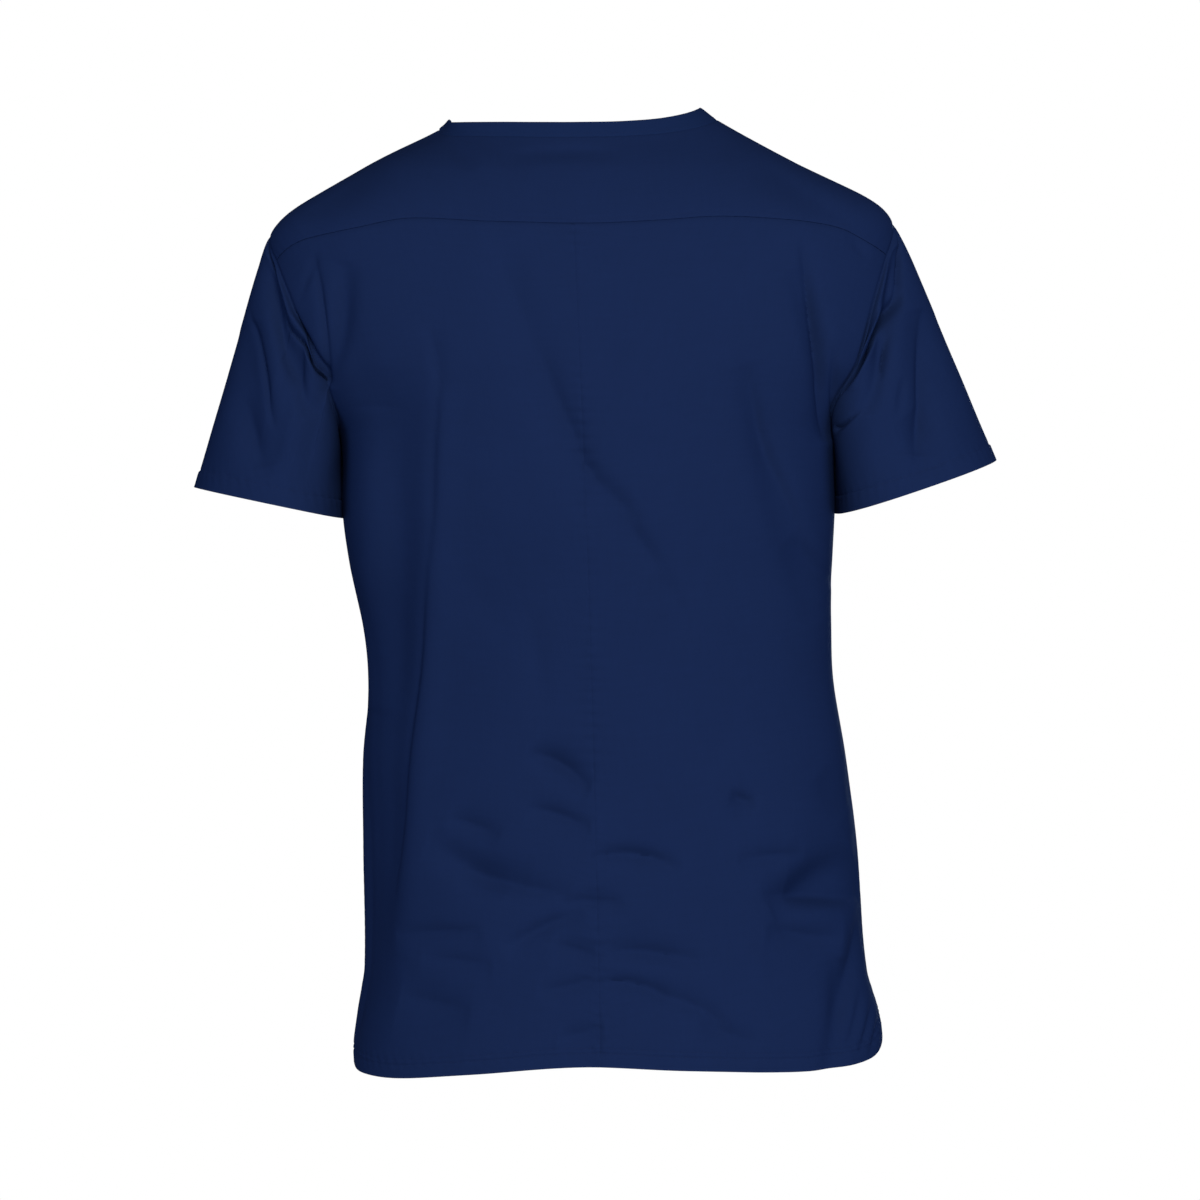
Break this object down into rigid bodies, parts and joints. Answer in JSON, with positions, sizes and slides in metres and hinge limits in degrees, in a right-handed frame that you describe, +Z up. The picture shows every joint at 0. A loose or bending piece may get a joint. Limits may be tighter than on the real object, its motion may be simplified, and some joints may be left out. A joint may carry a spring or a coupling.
{
  "type": "medical scrub top",
  "caption": "Short-sleeved medical scrub top in navy cloth, in its worn form with no wearer: V neck with a narrow band, back yoke, centre-back seam, set-in sleeves and side vents.",
  "frame": {"origin": "where the wearer's shoulders hold the top: midway between the two ends of the neck opening at the shoulder seams, level with the neck edge at centre back", "axes": "+Z up, towards the wearer's head; +Y the way the wearer faces, so the back faces -Y; +X towards the wearer's right arm"},
  "size_m": [0.6299, 0.2696, 0.7497],
  "materials": {
    "cloth": "navy polyester and cotton poplin, piece dyed, matt with a faint sheen",
    "neckband_cloth": "the same navy poplin, folded double"
  },
  "bodies": {
    "root": {"back_yoke": "cloth", "back_left": "cloth", "back_right": "cloth", "front": "cloth", "sleeve_left": "cloth", "sleeve_right": "cloth", "neckband": "neckband_cloth"}
  },
  "joints": []
}
